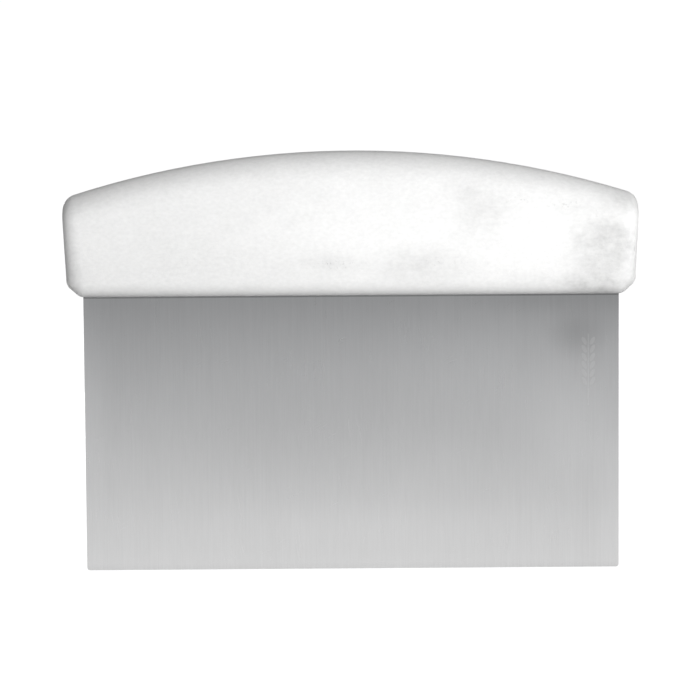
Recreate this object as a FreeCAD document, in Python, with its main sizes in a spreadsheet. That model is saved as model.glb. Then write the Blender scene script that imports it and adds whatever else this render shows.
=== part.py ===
"""Bench scraper: a stainless steel blade held between two moulded handle shells.

The frame's origin is the middle of the blade's working edge. +X runs along that edge,
+Y points from the front of the scraper to its back and +Z up into the handle.
All lengths are millimetres.
"""

import FreeCAD, Part
import itertools
import math
import os

import Sketcher
from FreeCAD import Placement, Rotation, Vector

# alias, value, what it measures
DIMENSIONS = (
    ("blade_width", 152.4, "blade, side to side"),
    ("blade_reach", 78.6, "working edge to the underside of the handle"),
    ("blade_gauge", 1.0, "thickness of the blade sheet"),
    ("blade_corner", 0.8, "radius of the two lower corners"),
    ("blade_break", 0.15, "radius along the blade's exposed edges"),
    ("tang_width", 144.0, "part of the sheet inside the handle, side to side"),
    ("tang_depth", 21.0, "how far the sheet goes up into the handle"),
    ("tang_corner", 3.0, "radius of the tang's upper corners"),
    ("pin_pitch", 56.0, "centre to centre of the tang pins"),
    ("pin_rise", 11.0, "pin centres above the underside of the handle"),
    ("pin_diameter", 5.0, "tang pins"),
    ("pin_length", 13.0, "tang pins, front to back"),
    ("pin_chamfer", 0.5, "lead-in on the ends of the pins"),
    ("pin_clearance", 0.04, "gap around a pin in the tang and in its sockets"),
    ("handle_height", 40.9, "underside to the crown, at the middle"),
    ("crown_radius", 263.0, "arc of the palm side, seen from the front"),
    ("under_width", 153.3, "flat underside, side to side"),
    ("heel_width", 160.8, "across the tops of the two lower bevels"),
    ("heel_rise", 3.3, "height of the lower bevels"),
    ("end_draft", 3.0, "lean of the handle's ends, in degrees"),
    ("half_depth", 9.0, "parting plane to the flat face of a shell"),
    ("palm_round", 8.5, "rounding along the crown"),
    ("end_round", 5.0, "rounding along the ends, the bevels and the underside"),
    ("crown_corner", 4.5, "corner between the crown and an end, seen from the front"),
    ("heel_corner", 3.0, "corners at both ends of a bevel, seen from the front"),
    ("seam_chamfer", 0.15, "chamfer along the outside of the seam"),
    ("shell_wall", 2.6, "wall of a shell"),
    ("rib_pitch", 14.0, "centre to centre of the cross ribs"),
    ("rib_gauge", 1.6, "thickness of a cross rib"),
    ("rib_relief", 0.3, "gap between a cross rib and the parting plane"),
    ("boss_diameter", 10.6, "bosses around the pin sockets"),
    ("slot_clearance", 0.05, "gap between the tang and a shell"),
    ("tongue_gauge", 0.9, "thickness of the tongue along the front shell's rim"),
    ("tongue_height", 0.8, "how far the tongue stands out of the rim"),
    ("tongue_corner", 3.0, "radius inside the tongue's corners"),
    ("tongue_clearance", 0.05, "gap around the tongue in the back shell's groove"),
)
SHEET = "Dimensions"
PIN_NODES = {-1: "left_tang_pin", 0: "middle_tang_pin", 1: "right_tang_pin"}
RIBS_EACH_SIDE = 5

# Turns what lies on the XY plane so that its Y runs along +Z and its Z along -Y.
UPRIGHT = Rotation(Vector(1, 0, 0), 90)
# The sketcher's numbers for points on a curve and for its own axes.
START, END, CENTRE = 1, 2, 3
ORIGIN_POINT = (-1, 1)
HORIZONTAL_AXIS, VERTICAL_AXIS = -1, -2
TOLERANCE = 1e-4


def main():
    doc = FreeCAD.newDocument("BenchScraper")
    sheet = fill_sheet(doc)
    nodes = [make_blade(doc, sheet), *make_pins(doc, sheet), *make_shells(doc, sheet)]
    doc.recompute()
    check(doc, nodes)
    os.makedirs("parts", exist_ok=True)
    for node in nodes:
        node.Shape.exportStep(f"parts/{node.Label}.step")
        print(f"{node.Label}: {node.Shape.Volume / 1000:.2f} cm3")


def fill_sheet(doc):
    """The spreadsheet that holds every driving dimension."""
    sheet = doc.addObject("Spreadsheet::Sheet", SHEET)
    for row, (alias, value, meaning) in enumerate(DIMENSIONS, start=1):
        sheet.set(f"A{row}", meaning)
        sheet.set(f"B{row}", str(value))
        sheet.setAlias(f"B{row}", alias)
    doc.recompute()
    return sheet


# ---------------------------------------------------------------- building blocks


def add(doc, kind, name, driven=None, **fixed):
    """A document object with fixed properties and ones driven by the spreadsheet."""
    feature = doc.addObject(kind, name)
    for key, value in fixed.items():
        setattr(feature, key, value)
    bind(feature, driven or {})
    return feature


def bind(feature, driven):
    """Drives properties by expressions, in which # stands for the spreadsheet."""
    for name, expression in driven.items():
        feature.setExpression(name, expression.replace("#", f"{SHEET}."))


def box(doc, name, length, width, height, corner):
    """A driven box. Its corner is the expressions for its lowest x, y and z."""
    sizes = {"Length": length, "Width": width, "Height": height}
    places = {f"Placement.Base.{axis}": place for axis, place in zip("xyz", corner)}
    return add(doc, "Part::Box", name, {**sizes, **places})


def pin_cylinder(doc, name, side, radius, height):
    """A driven cylinder on a pin's axis, from the parting plane to the front."""
    driven = {
        "Radius": radius,
        "Height": height,
        "Placement.Base.x": f"{side} * #pin_pitch",
        "Placement.Base.z": "#blade_reach + #pin_rise",
    }
    placed = Placement(Vector(), UPRIGHT)
    return add(doc, "Part::Cylinder", name, driven, Placement=placed)


def offset(doc, outline, name, by):
    """An outline grown by an expression, or shrunk where it is negative."""
    return add(doc, "Part::Offset2D", name, {"Value": by}, Source=outline, Fill=False)


def extrude(doc, outline, name, forward, back="0"):
    """A solid from an outline, forward of its plane (-Y) and back of it (+Y)."""
    driven = {"LengthFwd": forward, "LengthRev": back}
    direction = Vector(0, -1, 0)
    return add(
        doc, "Part::Extrusion", name, driven, Base=outline, Dir=direction, Solid=True
    )


def cut(doc, name, base, tool):
    return add(doc, "Part::Cut", name, Base=base, Tool=tool)


def fuse(doc, name, shapes):
    return add(doc, "Part::MultiFuse", name, Shapes=shapes)


class Outline:
    """One closed outline in a sketch, drawn near its place and then constrained."""

    def __init__(self, sketch):
        self.sketch = sketch

    def draw(self, curves):
        """Joins the curves into a ring, tangent where they run on. Returns their indices."""
        ring = [self.sketch.addGeometry(curve, False) for curve in curves]
        for here in range(len(ring)):
            last, following = curves[here - 1], curves[here]
            leaving = last.tangent(last.LastParameter)[0]
            arriving = following.tangent(following.FirstParameter)[0]
            smooth = leaving.getAngle(arriving) < TOLERANCE
            kind = "Tangent" if smooth else "Coincident"
            self.tie(kind, ring[here - 1], END, ring[here], START)
        return ring

    def circle(self, x, y, radius):
        circle = Part.Circle(Vector(x, y), Vector(0, 0, 1), radius)
        return self.sketch.addGeometry(circle, False)

    def tie(self, kind, *references):
        self.sketch.addConstraint(Sketcher.Constraint(kind, *references))

    def size(self, expression, kind, *references):
        """A dimension driven by an expression, in which # stands for the spreadsheet."""
        value = self.sketch.evalExpression(expression.replace("#", f"{SHEET}."))
        value = float(getattr(value, "Value", value))
        if kind == "Angle":
            value = math.radians(value)
        index = self.sketch.addConstraint(Sketcher.Constraint(kind, *references, value))
        bind(self.sketch, {f"Constraints[{index}]": expression})


def line(start, end):
    return Part.LineSegment(Vector(*start), Vector(*end))


def arc(centre, radius, start, end):
    """A counter-clockwise arc between two angles in degrees."""
    circle = Part.Circle(Vector(*centre), Vector(0, 0, 1), radius)
    return Part.ArcOfCircle(circle, math.radians(start), math.radians(end))


def body_sketch(body, name):
    """A sketch on the body's own XZ plane."""
    sketch = body.newObject("Sketcher::SketchObject", name)
    plane = next(f for f in body.Origin.OriginFeatures if f.Role == "XZ_Plane")
    sketch.AttachmentSupport = (plane, [""])
    sketch.MapMode = "FlatFace"
    return sketch


def midplane_pad(body, sketch, name, length):
    pad = body.newObject("PartDesign::Pad", name)
    pad.Profile = sketch
    pad.Midplane = True
    bind(pad, {"Length": length})
    return pad


def edge_names(shape, wanted):
    return [f"Edge{i}" for i, edge in enumerate(shape.Edges, start=1) if wanted(edge)]


# ---------------------------------------------------------------- blade


def make_blade(doc, sheet):
    """A flat sheet with a narrower tang, three pin holes and broken edges."""
    body = add(doc, "PartDesign::Body", "Blade", Label="blade")
    profile = body_sketch(body, "BladeProfile")
    draw_blade(Outline(profile), sheet)
    midplane_pad(body, profile, "BladeSheet", "#blade_gauge")
    row = punch_pin_holes(doc, body, sheet)

    corners = body.newObject("PartDesign::Fillet", "LowerCorners")
    corners.Base = (row, edge_names(row.Shape, is_lower_corner))
    bind(corners, {"Radius": "#blade_corner"})
    doc.recompute()

    def is_exposed_rim(edge):
        """Along the bottom or a side, on the front or the back face."""
        bounds = edge.BoundBox
        at_side = max(bounds.XMax, -bounds.XMin) > sheet.blade_width / 2 - TOLERANCE
        on_face = bounds.YLength < TOLERANCE
        below_shoulder = bounds.ZMin < sheet.blade_reach / 2
        return on_face and below_shoulder and (at_side or bounds.ZMax < sheet.blade_corner)

    rim = body.newObject("PartDesign::Fillet", "BrokenEdges")
    rim.Base = (corners, edge_names(corners.Shape, is_exposed_rim))
    bind(rim, {"Radius": "#blade_break"})
    return body


def draw_blade(outline, sheet):
    """The exposed blade below, and the tang with rounded corners above it."""
    half, tang = sheet.blade_width / 2, sheet.tang_width / 2
    reach, top = sheet.blade_reach, sheet.blade_reach + sheet.tang_depth
    turn = sheet.tang_corner
    edge, right, right_shoulder, tang_right, right_turn, *rest = outline.draw(
        [
            line((-half, 0), (half, 0)),
            line((half, 0), (half, reach)),
            line((half, reach), (tang, reach)),
            line((tang, reach), (tang, top - turn)),
            arc((tang - turn, top - turn), turn, 0, 90),
            line((tang - turn, top), (turn - tang, top)),
            arc((turn - tang, top - turn), turn, 90, 180),
            line((-tang, top - turn), (-tang, reach)),
            line((-tang, reach), (-half, reach)),
            line((-half, reach), (-half, 0)),
        ]
    )
    tang_top, left_turn, tang_left, left_shoulder, left = rest
    for side in (right_shoulder, left_shoulder):
        outline.tie("Horizontal", side)
    for side in (right, tang_right, tang_left, left):
        outline.tie("Vertical", side)
    outline.tie("Equal", right, left)
    outline.tie("Equal", right_turn, left_turn)
    outline.tie("Symmetric", edge, START, edge, END, VERTICAL_AXIS)
    outline.tie("Symmetric", tang_top, START, tang_top, END, VERTICAL_AXIS)
    outline.tie("PointOnObject", edge, START, HORIZONTAL_AXIS)
    outline.size("#blade_width", "DistanceX", edge, START, edge, END)
    outline.size("#blade_reach", "DistanceY", right, START, right, END)
    outline.size("#tang_width", "DistanceX", tang_left, END, tang_right, START)
    outline.size("#tang_depth", "DistanceY", tang_right, START, tang_top, START)
    outline.size("#tang_corner", "Radius", right_turn)


def punch_pin_holes(doc, body, sheet):
    """The left hole through the sheet, repeated along the tang."""
    profile = body_sketch(body, "PinHoleProfile")
    outline = Outline(profile)
    height = sheet.blade_reach + sheet.pin_rise
    hole = outline.circle(-sheet.pin_pitch, height, sheet.pin_diameter / 2)
    outline.size("#pin_diameter + 2 * #pin_clearance", "Diameter", hole)
    outline.size("#pin_pitch", "DistanceX", hole, CENTRE, *ORIGIN_POINT)
    outline.size("#blade_reach + #pin_rise", "DistanceY", *ORIGIN_POINT, hole, CENTRE)
    pocket = body.newObject("PartDesign::Pocket", "LeftPinHole")
    pocket.Profile = profile
    pocket.Midplane = True
    bind(pocket, {"Length": "2 * #blade_gauge"})
    row = body.newObject("PartDesign::LinearPattern", "PinHoles")
    row.Originals = [pocket]
    row.Direction = (profile, ["H_Axis"])
    row.Occurrences = len(PIN_NODES)
    bind(row, {"Length": "2 * #pin_pitch"})
    body.Tip = row
    doc.recompute()
    return row


def is_lower_corner(edge):
    """The blade's two lower corners run through its thickness."""
    return edge.BoundBox.ZMax < TOLERANCE < edge.BoundBox.YLength


# ---------------------------------------------------------------- tang pins


def make_pins(doc, sheet):
    """Three chamfered steel pins that lock the tang between the two shells."""
    return [make_pin(doc, sheet, side, node) for side, node in PIN_NODES.items()]


def make_pin(doc, sheet, side, node):
    prefix = node.split("_")[0].capitalize()
    body = add(doc, "PartDesign::Body", f"{prefix}Pin", Label=node)
    section = body_sketch(body, f"{prefix}PinSection")
    outline = Outline(section)
    circle = outline.circle(0, 0, sheet.pin_diameter / 2)
    outline.tie("Coincident", circle, CENTRE, *ORIGIN_POINT)
    outline.size("#pin_diameter", "Diameter", circle)
    rod = midplane_pad(body, section, f"{prefix}PinRod", "#pin_length")
    doc.recompute()
    ends = body.newObject("PartDesign::Chamfer", f"{prefix}PinEnds")
    ends.Base = (rod, edge_names(rod.Shape, lambda edge: edge.isClosed()))
    bind(ends, {"Size": "#pin_chamfer"})
    place = {
        "Placement.Base.x": f"{side} * #pin_pitch",
        "Placement.Base.z": "#blade_reach + #pin_rise",
    }
    bind(body, place)
    return body


# ---------------------------------------------------------------- handle shells


def make_shells(doc, sheet):
    """Two hollow, ribbed halves that meet on the XZ plane, tongue into groove."""
    outline = add(doc, "Sketcher::SketchObject", "HandleOutline")
    outline.Placement = Placement(Vector(), UPRIGHT)
    draw_handle(Outline(outline), sheet)

    block = rounded_block(doc, sheet, outline, "Handle", "#half_depth", less=0)
    seamed = add(doc, "Part::Chamfer", "SeamChamfer", Base=block)
    seamed.Edges = [
        (index, sheet.seam_chamfer, sheet.seam_chamfer)
        for index, edge in enumerate(block.Shape.Edges, start=1)
        if edge.BoundBox.YMin > -TOLERANCE
    ]
    spaces = [make_hollow(doc, sheet, outline), make_slot(doc), *make_sockets(doc)]
    half = cut(doc, "Half", seamed, fuse(doc, "Spaces", spaces))

    front = fuse(doc, "FrontShell", [half, make_rim(doc, outline, "Tongue", "0")])
    front.Label = "front_shell"
    turned = add(doc, "Part::Mirroring", "TurnedHalf", Source=half, Normal=Vector(0, 1, 0))
    back = cut(doc, "BackShell", turned, make_rim(doc, outline, "Groove", "#tongue_clearance"))
    back.Label = "back_shell"
    return front, back


def draw_handle(outline, sheet):
    """Flat underside, a bevel and a leaning end at each side, one arc over the top."""
    under, heel = sheet.under_width / 2, sheet.heel_width / 2
    low = sheet.blade_reach
    high = low + sheet.heel_rise
    centre = low + sheet.handle_height - sheet.crown_radius
    crown_sweep = math.degrees(math.asin(heel / sheet.crown_radius))
    crown_end = centre + math.sqrt(sheet.crown_radius**2 - heel**2)
    underside, right_bevel, right_end, crown, left_end, left_bevel = outline.draw(
        [
            line((-under, low), (under, low)),
            line((under, low), (heel, high)),
            line((heel, high), (heel, crown_end)),
            arc((0, centre), sheet.crown_radius, 90 - crown_sweep, 90 + crown_sweep),
            line((-heel, crown_end), (-heel, high)),
            line((-heel, high), (-under, low)),
        ]
    )
    outline.tie("Symmetric", underside, START, underside, END, VERTICAL_AXIS)
    outline.tie("Symmetric", right_bevel, END, left_bevel, START, VERTICAL_AXIS)
    outline.tie("Symmetric", crown, START, crown, END, VERTICAL_AXIS)
    outline.tie("PointOnObject", crown, CENTRE, VERTICAL_AXIS)
    outline.size("#blade_reach", "DistanceY", *ORIGIN_POINT, underside, END)
    outline.size("#under_width", "DistanceX", underside, START, underside, END)
    outline.size("#heel_width", "DistanceX", left_bevel, START, right_bevel, END)
    outline.size("#heel_rise", "DistanceY", right_bevel, START, right_bevel, END)
    outline.size("(90 - #end_draft) * 1 deg", "Angle", right_end)
    outline.size("#crown_radius", "Radius", crown)
    outline.size(
        "#crown_radius - #handle_height - #blade_reach",
        "DistanceY", crown, CENTRE, *ORIGIN_POINT
    )


def rounded_block(doc, sheet, outline, name, depth, less):
    """An outline extruded forward and rounded, with every radius less by a wall."""
    block = extrude(doc, outline, f"{name}Block", depth)
    doc.recompute()
    rounded = add(doc, "Part::Fillet", f"{name}Rounding", Base=block)
    rounded.Edges = [
        (index, rounding(edge, sheet) - less, rounding(edge, sheet) - less)
        for index, edge in enumerate(block.Shape.Edges, start=1)
        if edge.BoundBox.YMin < -TOLERANCE
    ]
    doc.recompute()
    return rounded


def rounding(edge, sheet):
    """The outside radius along one edge of the handle block."""
    bounds = edge.BoundBox
    if isinstance(edge.Curve, Part.Circle):
        return sheet.palm_round
    if bounds.YLength < TOLERANCE:
        return sheet.end_round
    above_middle = bounds.ZMin > sheet.blade_reach + sheet.handle_height / 2
    return sheet.crown_corner if above_middle else sheet.heel_corner


def make_hollow(doc, sheet, outline):
    """The space inside a shell, around its cross ribs and its bosses."""
    inside = offset(doc, outline, "HollowOutline", "-#shell_wall")
    doc.recompute()
    depth = "#half_depth - #shell_wall"
    hollow = rounded_block(doc, sheet, inside, "Hollow", depth, less=sheet.shell_wall)
    ribs = [
        box(
            doc, f"Rib{number}", "#rib_gauge", "#half_depth - #rib_relief", "#handle_height",
            (f"{step} * #rib_pitch - #rib_gauge / 2", "-#half_depth", "#blade_reach")
        )
        for number, step in enumerate(range(-RIBS_EACH_SIDE, RIBS_EACH_SIDE + 1), start=1)
    ]
    bosses = [
        pin_cylinder(doc, f"Boss{side + 2}", side, "#boss_diameter / 2", "#half_depth")
        for side in PIN_NODES
    ]
    return cut(doc, "Hollow", hollow, fuse(doc, "RibsAndBosses", ribs + bosses))


def make_slot(doc):
    """Room for one half of the tang's thickness."""
    depth = "#blade_gauge / 2 + #slot_clearance"
    return box(
        doc, "TangSlot", "#tang_width + 2 * #slot_clearance", depth,
        "#tang_depth + #slot_clearance",
        ("-#tang_width / 2 - #slot_clearance", f"-({depth})", "#blade_reach")
    )


def make_sockets(doc):
    """Blind holes for one half of each pin."""
    radius = "#pin_diameter / 2 + #pin_clearance"
    depth = "#pin_length / 2 + #pin_clearance"
    return [
        pin_cylinder(doc, f"Socket{side + 2}", side, radius, depth) for side in PIN_NODES
    ]


def make_rim(doc, outline, name, clearance):
    """The tongue, or its groove: a rail in the middle of the wall, above the bevels."""
    half_gauge = f"(#tongue_gauge / 2 + {clearance})"
    core_inset = f"(#shell_wall / 2 + {half_gauge} + #tongue_corner)"
    core = offset(doc, outline, f"{name}Core", f"-{core_inset}")
    prisms = []
    for edge, growth in (
        ("Inside", "#tongue_corner"),
        ("Outside", f"#tongue_corner + 2 * {half_gauge}"),
    ):
        rail = offset(doc, core, f"{name}{edge}Outline", growth)
        height = f"#tongue_height + {clearance}"
        prisms.append(extrude(doc, rail, f"{name}{edge}", "#tongue_height / 2", height))
    inside, outside = prisms
    bevels = box(
        doc, f"{name}Stop", "#heel_width", "4 * #tongue_height", "#heel_rise",
        ("-#heel_width / 2", "-2 * #tongue_height", "#blade_reach")
    )
    return cut(doc, name, outside, fuse(doc, f"{name}Spare", [inside, bevels]))


# ---------------------------------------------------------------- checks


def check(doc, nodes):
    """Stops before anything is written if a feature failed or two nodes overlap."""
    for feature in doc.Objects:
        if {"Invalid", "Error"} & set(feature.State):
            raise RuntimeError(f"{feature.Name} failed: {feature.State}")
    for sketch in doc.findObjects("Sketcher::SketchObject"):
        if not sketch.FullyConstrained:
            raise RuntimeError(f"{sketch.Name} can still move")
    for node in nodes:
        shape = node.Shape
        if shape.isNull() or not shape.isValid() or len(shape.Solids) != 1:
            raise RuntimeError(f"{node.Label} isn't one valid solid")
    for first, second in itertools.combinations(nodes, 2):
        shared = first.Shape.common(second.Shape).Volume
        if shared > TOLERANCE:
            raise RuntimeError(f"{first.Label} and {second.Label} overlap: {shared} mm3")


main()
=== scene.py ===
"""Studio scene for the bench scraper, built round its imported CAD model.

The CAD nodes keep their shapes. This script gives them procedural materials at real scale and
stands them in a plain white studio. Lengths are in metres unless a name ends in MM.
"""
import math

import bmesh
import bpy
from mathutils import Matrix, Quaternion, Vector


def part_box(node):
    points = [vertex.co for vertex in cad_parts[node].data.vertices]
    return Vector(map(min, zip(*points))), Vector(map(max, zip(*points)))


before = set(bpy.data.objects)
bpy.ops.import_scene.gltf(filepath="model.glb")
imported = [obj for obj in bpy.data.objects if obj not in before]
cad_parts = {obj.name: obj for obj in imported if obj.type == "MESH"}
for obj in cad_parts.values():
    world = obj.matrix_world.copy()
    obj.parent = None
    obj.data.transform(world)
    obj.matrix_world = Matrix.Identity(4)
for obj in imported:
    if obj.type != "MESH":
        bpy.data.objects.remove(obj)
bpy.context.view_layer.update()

MM = 0.001
GRIP_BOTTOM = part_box("front_shell")[0][2]


# ------------------------------------------------------------------ shader building


NOISE_GAIN = 4.0  # Blender's noise keeps near its middle, and this spreads it to about -1 to 1


class Shader:
    """One material. Its methods add nodes and return the output socket to use next."""

    def __init__(self, name):
        self.material = bpy.data.materials.new(name)
        self.material.use_nodes = True
        self.tree = self.material.node_tree
        self.surface = self.tree.nodes["Principled BSDF"]
        place = self.tree.nodes.new("ShaderNodeTexCoord").outputs["Object"]
        split = self.tree.nodes.new("ShaderNodeSeparateXYZ")
        self.tree.links.new(place, split.inputs[0])
        self.place = place
        self.x, self.y, self.z = split.outputs

    def feed(self, socket, value):
        """Links a socket to another, or sets it to a plain value."""
        if isinstance(value, bpy.types.NodeSocket):
            self.tree.links.new(value, socket)
        else:
            socket.default_value = value

    def math(self, operation, first, second=0.0, third=0.0):
        node = self.tree.nodes.new("ShaderNodeMath")
        node.operation = operation
        for socket, value in zip(node.inputs, (first, second, third)):
            self.feed(socket, value)
        return node.outputs[0]

    def add(self, first, second):
        return self.math("ADD", first, second)

    def subtract(self, first, second):
        return self.math("SUBTRACT", first, second)

    def times(self, first, second):
        return self.math("MULTIPLY", first, second)

    def most(self, first, second):
        return self.math("MAXIMUM", first, second)

    def ramp(self, value, start, end, low=0.0, high=1.0):
        """Goes smoothly from low, where value is start, to high, where it is end."""
        node = self.tree.nodes.new("ShaderNodeMapRange")
        node.interpolation_type = "SMOOTHSTEP"
        settings = {"Value": value, "From Min": start, "From Max": end}
        settings.update({"To Min": low, "To Max": high})
        for name, setting in settings.items():
            self.feed(node.inputs[name], setting)
        return node.outputs["Result"]

    def turned(self, angle):
        """The place, turned about the Y axis by an angle in degrees."""
        node = self.tree.nodes.new("ShaderNodeVectorRotate")
        node.rotation_type = "Y_AXIS"
        self.feed(node.inputs["Vector"], self.place)
        node.inputs["Angle"].default_value = math.radians(angle)
        return node.outputs["Vector"]

    def noise(self, sizes_mm, detail=2.0, place=None, offset=0.0):
        """Noise from about -1 to 1, whose lumps have the given sizes along X, Y and Z."""
        stretch = self.tree.nodes.new("ShaderNodeMapping")
        self.feed(stretch.inputs["Vector"], place or self.place)
        stretch.inputs["Location"].default_value = (offset, offset, offset)
        stretch.inputs["Scale"].default_value = [1 / (size * MM) for size in sizes_mm]
        node = self.tree.nodes.new("ShaderNodeTexNoise")
        self.feed(node.inputs["Vector"], stretch.outputs[0])
        node.inputs["Scale"].default_value = 1.0
        node.inputs["Detail"].default_value = detail
        node.inputs["Roughness"].default_value = 0.55
        return self.math("MULTIPLY_ADD", node.outputs["Fac"], NOISE_GAIN, -0.5 * NOISE_GAIN)

    def hairlines(self, angle, width_mm, length_mm, offset):
        """Sparse thin scratches along a direction in the XZ plane: 0 off them, 1 on them."""
        place = self.turned(angle)
        sizes = (width_mm, length_mm, length_mm)
        lines = self.ramp(self.noise(sizes, 0.0, place, offset), 0.95, 1.25)
        clumps = self.ramp(self.noise((9.0, 9.0, 9.0), 1.0, offset=offset), 0.0, 0.8)
        return self.times(lines, clumps)

    def spot(self, centre_mm, radii_mm, ragged=0.0):
        """A soft oval in the XZ plane, from 1 at its centre to 0 at its ragged outline."""
        across = self.oval_part(self.x, centre_mm[0], radii_mm[0])
        up = self.oval_part(self.z, centre_mm[1], radii_mm[1])
        distance = self.add(self.math("SQRT", self.add(across, up)), ragged)
        return self.ramp(distance, 1.0, 0.0)

    def spots(self, ovals, ragged=0.0):
        """Adds up soft ovals, each a centre, radii and weight."""
        result = 0.0
        for centre_mm, radii_mm, weight in ovals:
            oval = self.spot(centre_mm, radii_mm, ragged)
            result = self.math("MULTIPLY_ADD", oval, weight, result)
        return result

    def oval_part(self, along, centre_mm, radius_mm):
        """The square of how far out a place is along one axis, as a share of the radius."""
        scaled = self.times(self.subtract(along, centre_mm * MM), 1 / (radius_mm * MM))
        return self.times(scaled, scaled)

    def tone(self, color, factor):
        """A plain colour times a varying factor."""
        node = self.tree.nodes.new("ShaderNodeVectorMath")
        node.operation = "SCALE"
        node.inputs[0].default_value = color
        self.feed(node.inputs["Scale"], factor)
        return node.outputs[0]

    def bump(self, *layers):
        """Adds up (height, depth in millimetres) layers and roughens the surface with them."""
        node = self.tree.nodes.new("ShaderNodeBump")
        node.inputs["Distance"].default_value = 1.0
        relief = None
        for height, depth_mm in layers:
            layer = self.times(height, depth_mm * MM)
            relief = layer if relief is None else self.add(relief, layer)
        self.feed(node.inputs["Height"], relief)
        self.feed(self.surface.inputs["Normal"], node.outputs[0])


def total(shader, *parts):
    """A factor: 1 plus the (value, weight) parts."""
    result = 1.0
    for value, weight in parts:
        result = shader.math("MULTIPLY_ADD", value, weight, result)
    return result


# ------------------------------------------------------------------ grip


PLASTIC_COLOR = (0.88, 0.88, 0.876)
PLASTIC_ROUGHNESS = 0.48
PLASTIC_IOR = 1.45
# Grey film from handling, and among it patches of painted shade at the crown's ends and the
# lower right heel.
HAND_MARKS_AND_PAINTED_SHADE_MM = (
    # centre (x, z), radii, how much darker
    ((71.0, 88.0), (17.0, 16.0), 0.17),
    ((72.0, 95.0), (12.0, 5.5), 0.13),
    ((75.5, 90.0), (5.0, 5.5), 0.10),
    # painted shade on the rounded ends of the crown
    ((78.0, 105.0), (11.0, 5.0), 0.12),
    ((-78.0, 105.0), (9.0, 5.0), 0.08),
    ((37.0, 102.0), (13.0, 10.0), 0.12),
    ((31.0, 108.0), (8.0, 5.0), 0.06),
    ((62.0, 103.0), (12.0, 4.0), 0.06),
    ((19.0, 87.0), (16.0, 8.0), 0.12),
    ((59.0, 82.5), (21.0, 4.0), 0.10),
    ((-6.0, 88.0), (14.0, 3.5), 0.09),
    ((-46.0, 95.0), (34.0, 18.0), 0.03),
    # painted shade along the lower right heel
    ((74.0, 79.5), (22.0, 4.5), 0.16),
    ((-80.0, 84.0), (7.0, 12.0), 0.10),
)
# Painted highlights: lighter patches on the front face that stand in for the sheen of the soft
# lights on it.
PAINTED_HIGHLIGHTS_MM = (
    # centre (x, z), radii, how much lighter
    ((8.0, 98.0), (54.0, 20.0), 0.075),
    ((54.0, 94.0), (24.0, 22.0), 0.060),
    ((-44.0, 100.0), (42.0, 18.0), 0.022),
)
SPECKS_MM = (
    # centre (x, z), radii, how dark
    ((46.8, 105.0), (5.0, 2.4), 1.6),
    ((60.0, 103.8), (7.0, 2.4), 1.6),
    ((70.0, 101.5), (5.0, 2.0), 1.2),
    ((-5.5, 87.6), (13.0, 2.2), 1.6),
    ((24.0, 88.0), (14.0, 2.6), 1.0),
    ((55.0, 90.0), (9.0, 3.0), 0.8),
    ((72.0, 90.0), (12.0, 12.0), 0.5),
    ((-50.0, 90.0), (26.0, 12.0), 0.3),
)


def white_polypropylene():
    """Satin white plastic: fine mould texture, faint flow clouds and marks of handling."""
    shader = Shader("white_polypropylene")
    clouds = shader.noise((16.0, 16.0, 10.0), 3.0)
    mottle = shader.noise((3.5, 3.5, 2.8), 3.0, offset=5.0)
    grit = shader.noise((1.3, 1.0, 0.9), 2.0, offset=17.0)
    texture = shader.noise((0.35, 0.35, 0.35), 2.0)
    scuffs = shader.most(
        shader.hairlines(84.0, 0.10, 9.0, 3.0),
        shader.hairlines(-21.0, 0.08, 7.0, 11.0),
    )
    tone = total(
        shader,
        (clouds, 0.014),
        (mottle, 0.015),
        (grit, 0.042),
        (scuffs, -0.04),
        # marks from handling, with painted shade and painted highlights
        (marks_and_painted_light(shader), 1.0),
        (seam_dirt(shader), -0.05),
        # painted shade under the grip, beside the blade
        (heel_painted_shade(shader), -0.30),
    )
    shader.feed(shader.surface.inputs["Base Color"], shader.tone(PLASTIC_COLOR, tone))
    rough = total(shader, (clouds, 0.05), (mottle, 0.03), (scuffs, -0.12))
    shader.feed(shader.surface.inputs["Roughness"], shader.times(rough, PLASTIC_ROUGHNESS))
    shader.surface.inputs["IOR"].default_value = PLASTIC_IOR
    shader.bump((texture, 0.007), (mottle, 0.008), (scuffs, -0.010))
    return shader.material


def marks_and_painted_light(shader):
    """Marks on the front face: patches of grey film and dark specks from handling, painted shade
    at the crown's ends and the lower right heel, and painted highlights.
    """
    ragged = shader.times(shader.noise((6.0, 6.0, 5.0), 4.0, offset=9.0), 0.28)
    uneven = shader.noise((2.6, 2.6, 2.2), 3.0, offset=13.0)
    patches = shader.ramp(uneven, -1.2, 1.2, 0.45, 1.25)
    # grey film from handling, and painted shade
    film_and_painted_shade = shader.times(shader.spots(HAND_MARKS_AND_PAINTED_SHADE_MM, ragged), patches)
    # darker towards the bottom of the front face
    darker_low = shader.ramp(shader.z, 95.0 * MM, 82.0 * MM, 0.0, 0.035)
    grains = shader.noise((0.9, 1.0, 0.7), 2.0, offset=23.0)
    dots = shader.ramp(grains, 0.25, 0.8, 0.0, 0.12)
    specks = shader.times(dots, shader.spots(SPECKS_MM))
    dark = shader.add(film_and_painted_shade, shader.add(darker_low, specks))
    # painted highlights on the front face
    light = shader.spots(PAINTED_HIGHLIGHTS_MM, ragged)
    on_front = shader.ramp(shader.y, -2.0 * MM, -6.0 * MM)
    return shader.times(shader.subtract(light, dark), on_front)


def seam_dirt(shader):
    """Dirt in the groove where the two shells meet."""
    off_seam = shader.math("ABSOLUTE", shader.y)
    return shader.ramp(off_seam, 0.30 * MM, 0.04 * MM)


def heel_painted_shade(shader):
    """Painted shade on the grip's lowest 2 mm, close round the slot that the blade comes out of.
    """
    low = shader.ramp(shader.z, GRIP_BOTTOM + 1.8 * MM, GRIP_BOTTOM - 0.1 * MM)
    near_blade = shader.ramp(shader.math("ABSOLUTE", shader.y), 5.0 * MM, 0.8 * MM)
    return shader.times(low, near_blade)


# ------------------------------------------------------------------ steel


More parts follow.
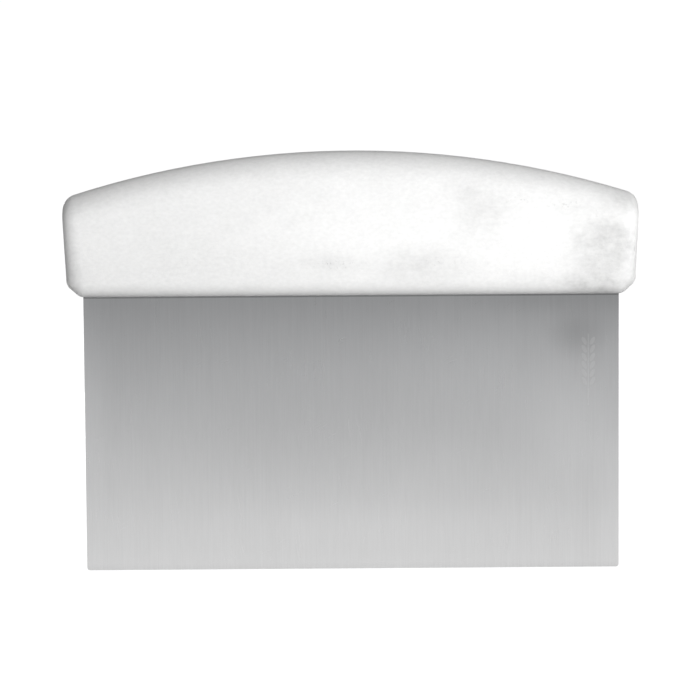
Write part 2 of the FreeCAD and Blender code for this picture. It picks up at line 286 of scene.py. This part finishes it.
SHEET_COLOR = (0.62, 0.62, 0.62)
SHEET_ROUGHNESS = 0.30
SHEET_ANISOTROPY = 0.7
SHEET_TONES_MM = (
    # centre (x, z), radii, how much lighter, or darker where it is negative
    ((45.0, 62.0), (48.0, 28.0), 0.10),
    ((66.0, 44.0), (26.0, 26.0), 0.11),
    ((-79.0, 56.0), (14.0, 44.0), 0.12),
    ((4.0, 64.0), (84.0, 24.0), 0.055),
    ((-18.0, 38.0), (52.0, 22.0), -0.04),
    ((0.0, 13.0), (90.0, 9.0), 0.03),
    ((64.0, 67.0), (10.5, 9.5), -0.15),
    ((79.0, 62.0), (13.0, 16.0), 0.07),
    ((80.0, 18.0), (14.0, 34.0), 0.08),
    # painted shade in a band just below the grip
    ((58.0, 77.0), (34.0, 6.0), -0.08),
)


def brushed_sheet():
    """Stainless sheet with a vertical grain, faint clouds, hairlines and an etched mark."""
    shader = Shader("brushed_stainless_sheet")
    fine = shader.noise((0.14, 0.3, 22.0), 2.0)
    dashes = shader.noise((0.9, 0.3, 9.0), 3.0, offset=19.0)
    streaks = shader.noise((0.6, 0.3, 70.0), 2.0, offset=7.0)
    bands = shader.noise((5.0, 0.3, 160.0), 1.0, offset=2.0)
    clouds = shader.noise((26.0, 26.0, 18.0), 2.0, offset=4.0)
    scratches = shader.most(
        shader.hairlines(8.0, 0.07, 16.0, 21.0),
        shader.hairlines(-62.0, 0.06, 8.0, 31.0),
    )
    mark = wheat_ear(shader)
    used_edge = shader.ramp(shader.z, 2.2 * MM, 0.0)
    tone = total(
        shader,
        (fine, 0.024),
        (dashes, 0.018),
        (streaks, 0.018),
        (bands, 0.010),
        (clouds, 0.018),
        (scratches, 0.05),
        (mark, 0.18),
        (shader.times(used_edge, fine), 0.05),
        # painted shade in the corner under the grip
        (slot_painted_shade(shader), -0.42),
        (front_tones(shader), 1.0),
    )
    shader.feed(shader.surface.inputs["Base Color"], shader.tone(SHEET_COLOR, tone))
    rough = total(
        shader,
        (fine, 0.05),
        (streaks, 0.05),
        (clouds, 0.06),
        (mark, 0.35),
        (used_edge, 0.15),
        (scratches, -0.2),
    )
    shader.feed(shader.surface.inputs["Roughness"], shader.times(rough, SHEET_ROUGHNESS))
    shader.surface.inputs["Metallic"].default_value = 1.0
    shader.surface.inputs["Anisotropic"].default_value = SHEET_ANISOTROPY
    across_grain(shader)
    shader.bump((fine, 0.0006), (streaks, 0.0010), (scratches, -0.0015))
    return shader.material


def front_tones(shader):
    """Broad clouds on the front of the sheet, a smudge under the grip, and a band of painted
    shade just below the grip.
    """
    on_front = shader.math("LESS_THAN", shader.y, 0.0)
    return shader.times(shader.spots(SHEET_TONES_MM), on_front)


def across_grain(shader):
    """The grain runs up the blade, so it spreads reflections sideways, along X."""
    node = shader.tree.nodes.new("ShaderNodeCombineXYZ")
    node.inputs[0].default_value = 1.0
    shader.feed(shader.surface.inputs["Tangent"], node.outputs[0])


def slot_painted_shade(shader):
    """Painted shade: a dark line on the blade just under the grip, in the corner where the blade
    goes into it.
    """
    return shader.ramp(shader.z, GRIP_BOTTOM - 0.8 * MM, GRIP_BOTTOM - 0.4 * MM)


LOWEST_GRAINS_MM = (67.5, 53.5)  # x, z
GRAIN_PAIRS = 6
GRAIN_PITCH = 2.3 * MM
GRAIN_OUT = 1.15 * MM
GRAIN_RADII_MM = (1.25, 0.55)
GRAIN_LEAN = math.radians(28.0)
STALK_BELOW_MM = 7.0


def wheat_ear(shader):
    """A small etched ear of wheat: paired grains up a thin stalk, 0 off it and 1 on it."""
    across = shader.math("ABSOLUTE", shader.subtract(shader.x, LOWEST_GRAINS_MM[0] * MM))
    up = shader.subtract(shader.z, LOWEST_GRAINS_MM[1] * MM)
    grains = shader.times(grain_pair(shader, across, up), within_ear(shader, up))
    on_front = shader.math("LESS_THAN", shader.y, 0.0)
    return shader.times(shader.most(grains, stalk(shader, across, up)), on_front)


def grain_pair(shader, across, up):
    """Leaning ovals on both sides of the stalk, once in every pitch."""
    in_pitch = shader.math("WRAP", up, 0.5 * GRAIN_PITCH, -0.5 * GRAIN_PITCH)
    out = shader.subtract(across, GRAIN_OUT)
    along = shader.add(
        shader.times(out, math.sin(GRAIN_LEAN)), shader.times(in_pitch, math.cos(GRAIN_LEAN))
    )
    aside = shader.subtract(
        shader.times(out, math.cos(GRAIN_LEAN)), shader.times(in_pitch, math.sin(GRAIN_LEAN))
    )
    long_part = shader.oval_part(along, 0.0, GRAIN_RADII_MM[0])
    short_part = shader.oval_part(aside, 0.0, GRAIN_RADII_MM[1])
    return shader.ramp(shader.add(long_part, short_part), 1.15, 0.85)


def within_ear(shader, up):
    """1 over the height of the pairs of grains and 0 past it."""
    bottom = -0.5 * GRAIN_PITCH
    top = (GRAIN_PAIRS - 0.5) * GRAIN_PITCH
    return shader.times(
        shader.ramp(up, bottom, bottom + 0.02 * MM), shader.ramp(up, top, top - 0.02 * MM)
    )


def stalk(shader, across, up):
    """The thin line that the grains sit on."""
    height = shader.times(
        shader.ramp(up, -STALK_BELOW_MM * MM, (0.2 - STALK_BELOW_MM) * MM),
        shader.ramp(up, GRAIN_PAIRS * GRAIN_PITCH, (GRAIN_PAIRS - 0.3) * GRAIN_PITCH),
    )
    return shader.times(shader.ramp(across, 0.22 * MM, 0.12 * MM), height)


PIN_COLOR = (0.60, 0.60, 0.60)
PIN_ROUGHNESS = 0.32


def drawn_pin_steel():
    """Plain drawn stainless wire, with its lines along the pin."""
    shader = Shader("drawn_stainless_pin")
    lines = shader.noise((0.15, 9.0, 0.15), 2.0)
    clouds = shader.noise((2.5, 2.5, 2.5), 2.0)
    tone = total(shader, (lines, 0.04), (clouds, 0.03))
    shader.feed(shader.surface.inputs["Base Color"], shader.tone(PIN_COLOR, tone))
    rough = total(shader, (lines, 0.10), (clouds, 0.08))
    shader.feed(shader.surface.inputs["Roughness"], shader.times(rough, PIN_ROUGHNESS))
    shader.surface.inputs["Metallic"].default_value = 1.0
    shader.bump((lines, 0.001))
    return shader.material


def dress(material, *nodes):
    """Gives CAD nodes a material."""
    for name in nodes:
        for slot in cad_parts[name].material_slots:
            slot.material = material


# ------------------------------------------------------------------ studio


STUDIO_RADIUS = 2.6
STUDIO_CURVE = 1.2
STUDIO_HEIGHT = 2.6
CURVE_STEPS = 16
FLOOR_RINGS = (0.3, 0.7)


def studio_profile():
    """Radius and height of the round studio, from its floor up its curved wall."""
    flat = STUDIO_RADIUS - STUDIO_CURVE
    points = [(radius, 0.0) for radius in FLOOR_RINGS]
    for step in range(CURVE_STEPS + 1):
        angle = math.radians(90.0 * step / CURVE_STEPS)
        across = flat + STUDIO_CURVE * math.sin(angle)
        up = STUDIO_CURVE * (1.0 - math.cos(angle))
        points.append((across, up))
    points.append((STUDIO_RADIUS, STUDIO_HEIGHT))
    return points


def round_mesh(name, profile, height=0.0, sides=96):
    """A surface of revolution about Z, closed at its middle."""
    mesh = bmesh.new()
    middle = mesh.verts.new((0.0, 0.0, height))
    rings = []
    for radius, up in profile:
        ring = []
        for side in range(sides):
            angle = 2.0 * math.pi * side / sides
            corner = (radius * math.cos(angle), radius * math.sin(angle), up + height)
            ring.append(mesh.verts.new(corner))
        rings.append(ring)
    for side in range(sides):
        after = (side + 1) % sides
        mesh.faces.new((middle, rings[0][side], rings[0][after]))
        for low, high in zip(rings, rings[1:]):
            mesh.faces.new((low[side], high[side], high[after], low[after]))
    data = bpy.data.meshes.new(name)
    mesh.to_mesh(data)
    mesh.free()
    for polygon in data.polygons:
        polygon.use_smooth = True
    made = bpy.data.objects.new(name, data)
    bpy.context.scene.collection.objects.link(made)
    return made


def stage_material(name):
    """An empty material for the stage, and its output node."""
    material = bpy.data.materials.new(name)
    material.use_nodes = True
    material.node_tree.nodes.clear()
    return material, material.node_tree.nodes.new("ShaderNodeOutputMaterial")


def paper_white():
    """Paper that glows white. Its matte part only adds to the white, so no shadow shows."""
    material, output = stage_material("studio_paper")
    nodes = material.node_tree.nodes
    links = material.node_tree.links
    glow = nodes.new("ShaderNodeEmission")
    glow.inputs["Strength"].default_value = 1.0
    matte = nodes.new("ShaderNodeBsdfDiffuse")
    matte.inputs["Color"].default_value = (0.25, 0.25, 0.25, 1.0)
    both = nodes.new("ShaderNodeAddShader")
    links.new(glow.outputs[0], both.inputs[0])
    links.new(matte.outputs[0], both.inputs[1])
    links.new(both.outputs[0], output.inputs["Surface"])
    return material


def make_studio():
    """A round white studio, seen by the camera only."""
    studio = round_mesh("studio", studio_profile())
    studio.data.materials.append(paper_white())
    studio.visible_glossy = False
    studio.visible_diffuse = False


REFLECTOR_FAR = (0.267, 0.288, 0.317)
REFLECTOR_NEAR = (0.895, 0.873, 0.845)
REFLECTOR_FADE = 1.45
REFLECTOR_RINGS = (0.5, 3.0)
REFLECTOR_DROP = 2.0 * MM


def glowing_card():
    """Light that is brightest at the object and fades outwards, to a cooler grey."""
    material, output = stage_material("reflector_card")
    nodes = material.node_tree.nodes
    links = material.node_tree.links
    place = nodes.new("ShaderNodeTexCoord")
    flat = nodes.new("ShaderNodeVectorMath")
    flat.operation = "LENGTH"
    links.new(place.outputs["Object"], flat.inputs[0])
    fade = nodes.new("ShaderNodeMath")
    fade.operation = "DIVIDE"
    fade.inputs[1].default_value = -REFLECTOR_FADE
    links.new(flat.outputs["Value"], fade.inputs[0])
    curve = nodes.new("ShaderNodeMath")
    curve.operation = "EXPONENT"
    links.new(fade.outputs[0], curve.inputs[0])
    near = nodes.new("ShaderNodeEmission")
    near.inputs["Color"].default_value = (*REFLECTOR_NEAR, 1.0)
    links.new(curve.outputs[0], near.inputs["Strength"])
    far = nodes.new("ShaderNodeEmission")
    far.inputs["Color"].default_value = (*REFLECTOR_FAR, 1.0)
    both = nodes.new("ShaderNodeAddShader")
    links.new(near.outputs[0], both.inputs[0])
    links.new(far.outputs[0], both.inputs[1])
    links.new(both.outputs[0], output.inputs["Surface"])
    return material


def make_reflector():
    """What the steel mirrors: a round card under the floor, which only reflections see."""
    profile = [(radius, 0.0) for radius in REFLECTOR_RINGS]
    card = round_mesh("reflector", profile, height=-REFLECTOR_DROP)
    card.data.materials.append(glowing_card())
    card.visible_camera = False
    card.visible_diffuse = False
    card.visible_shadow = False


LIGHTS_AIM = (0.0, 0.0, 0.09)
AIR_COLOR = (0.042, 0.042, 0.042, 1.0)


def softbox(name, azimuth, distance, height, size, watts):
    """A soft light turned to the grip. Azimuth 0 is in front, and 90 at the right."""
    angle = math.radians(azimuth)
    data = bpy.data.lights.new(name, "AREA")
    data.shape = "RECTANGLE"
    data.size, data.size_y = size
    data.energy = watts
    light = bpy.data.objects.new(name, data)
    bpy.context.scene.collection.objects.link(light)
    light.location = (distance * math.sin(angle), -distance * math.cos(angle), height)
    aim = Vector(LIGHTS_AIM) - light.location
    light.rotation_euler = aim.to_track_quat("-Z", "Y").to_euler()
    light.visible_camera = False
    light.visible_glossy = False


def make_lights():
    """A key and fills for the front, the ends and the crown, and two lights for the back."""
    # azimuth, distance, height, size, watts
    softbox("key", 20.0, 0.60, 0.10, (0.30, 0.18), 3.45)
    softbox("left_fill", -35.0, 1.30, 0.17, (0.70, 0.32), 2.5)
    softbox("left_end_fill", -80.0, 1.00, 0.15, (0.40, 0.26), 1.05)
    softbox("right_end_fill", 92.0, 1.00, 0.10, (0.40, 0.18), 3.5)
    softbox("crown_fill", 180.0, 0.70, 1.00, (0.90, 0.50), 5.0)
    softbox("back_key", 200.0, 0.60, 0.10, (0.30, 0.18), 2.2)
    softbox("back_fill", 180.0, 1.30, 0.45, (0.70, 0.30), 2.1)
    world = bpy.data.worlds.new("studio_air")
    world.use_nodes = True
    world.node_tree.nodes["Background"].inputs["Color"].default_value = AIR_COLOR
    bpy.context.scene.world = world


CAMERA_TARGET = (-0.0004, 0.0, 0.0628)
CAMERA_DISTANCE = 0.70
CAMERA_ELEVATION = math.radians(4.0)
CAMERA_ROLL = math.radians(-0.42)  # the photograph leans by this much


def make_camera():
    """A long lens, a little above the middle of the object and straight in front."""
    data = bpy.data.cameras.new("camera")
    data.sensor_width = 36.0
    data.lens = 126.25
    camera = bpy.data.objects.new("camera", data)
    bpy.context.scene.collection.objects.link(camera)
    away = Vector((0.0, -math.cos(CAMERA_ELEVATION), math.sin(CAMERA_ELEVATION)))
    camera.location = Vector(CAMERA_TARGET) + CAMERA_DISTANCE * away
    camera.rotation_mode = "QUATERNION"
    level = (-away).to_track_quat("-Z", "Y")
    camera.rotation_quaternion = level @ Quaternion((0.0, 0.0, 1.0), CAMERA_ROLL)
    bpy.context.scene.camera = camera
    bpy.context.scene.view_settings.view_transform = "Standard"


make_camera()
make_lights()
make_studio()
make_reflector()
dress(brushed_sheet(), "blade")
dress(white_polypropylene(), "front_shell", "back_shell")
dress(drawn_pin_steel(), "left_tang_pin", "middle_tang_pin", "right_tang_pin")
